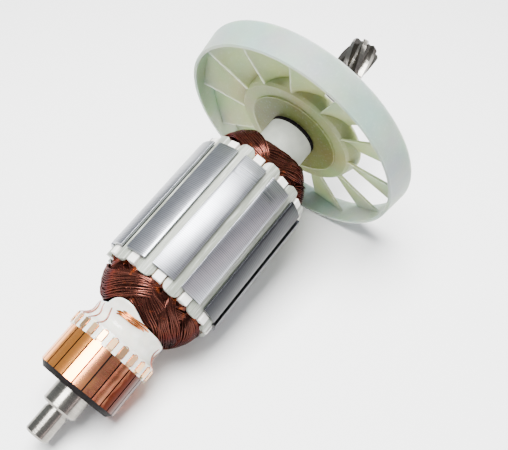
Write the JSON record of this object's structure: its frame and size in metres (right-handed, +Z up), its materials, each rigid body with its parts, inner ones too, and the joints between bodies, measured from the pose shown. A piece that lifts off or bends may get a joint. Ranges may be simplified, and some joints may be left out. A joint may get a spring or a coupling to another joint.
{
  "type": "motor armature",
  "caption": "Armature of a hand tool's motor: slotted stack with coils, hook commutator, moulded fan and a shaft ending in a helical pinion.",
  "frame": {"origin": "on the floor, under the middle of the bounding box; the armature lies at rest on the commutator's front edge and the fan's near rim", "axes": "+Z up; the shaft lies in the XZ plane, its pinion end towards +X and raised about 15 degrees; +Y across the shaft"},
  "size_m": [0.1714, 0.0874, 0.0858],
  "materials": {
    "shaft_steel": "ground steel, fine turning marks",
    "sleeve_plastic": "smooth moulded plastic, satin gloss",
    "stack_steel": "ground edges of thin laminations, bright",
    "end_board": "moulded insulator, satin",
    "slot_liner": "thin insulating sheet, matt tan",
    "slot_wedge": "pale glass-filled strip, satin",
    "winding_wire": "enamelled copper wire, brown-red varnish, glossy",
    "commutator_moulding": "black phenolic moulding, satin",
    "bush_steel": "turned steel",
    "commutator_copper": "turned copper, polished",
    "lead_resin": "off-white dripped resin, glossy",
    "fan_insert": "black knurled moulding",
    "fan_nylon": "milky undyed nylon, satin gloss, slightly translucent"
  },
  "bodies": {
    "root": {"shaft": "shaft_steel", "insulating_sleeve": "sleeve_plastic", "lamination_stack": "stack_steel", "front_end_insulator": "end_board", "rear_end_insulator": "end_board", "slot_liners": "slot_liner", "slot_wedge_01": "slot_wedge", "slot_wedge_02": "slot_wedge", "slot_wedge_03": "slot_wedge", "slot_wedge_04": "slot_wedge", "slot_wedge_05": "slot_wedge", "slot_wedge_06": "slot_wedge", "slot_wedge_07": "slot_wedge", "slot_wedge_08": "slot_wedge", "slot_wedge_09": "slot_wedge", "slot_wedge_10": "slot_wedge", "slot_wedge_11": "slot_wedge", "slot_wedge_12": "slot_wedge", "coil_01": "winding_wire", "coil_02": "winding_wire", "coil_03": "winding_wire", "coil_04": "winding_wire", "coil_05": "winding_wire", "coil_06": "winding_wire", "coil_07": "winding_wire", "coil_08": "winding_wire", "coil_09": "winding_wire", "coil_10": "winding_wire", "coil_11": "winding_wire", "coil_12": "winding_wire", "commutator_core": "commutator_moulding", "commutator_bush": "bush_steel", "commutator_bar_01": "commutator_copper", "commutator_bar_02": "commutator_copper", "commutator_bar_03": "commutator_copper", "commutator_bar_04": "commutator_copper", "commutator_bar_05": "commutator_copper", "commutator_bar_06": "commutator_copper", "commutator_bar_07": "commutator_copper", "commutator_bar_08": "commutator_copper", "commutator_bar_09": "commutator_copper", "commutator_bar_10": "commutator_copper", "commutator_bar_11": "commutator_copper", "commutator_bar_12": "commutator_copper", "commutator_bar_13": "commutator_copper", "commutator_bar_14": "commutator_copper", "commutator_bar_15": "commutator_copper", "commutator_bar_16": "commutator_copper", "commutator_bar_17": "commutator_copper", "commutator_bar_18": "commutator_copper", "commutator_bar_19": "commutator_copper", "commutator_bar_20": "commutator_copper", "commutator_bar_21": "commutator_copper", "commutator_bar_22": "commutator_copper", "commutator_bar_23": "commutator_copper", "commutator_bar_24": "commutator_copper", "lead_resin": "lead_resin", "fan_insert": "fan_insert", "fan": "fan_nylon"}
  },
  "joints": []
}
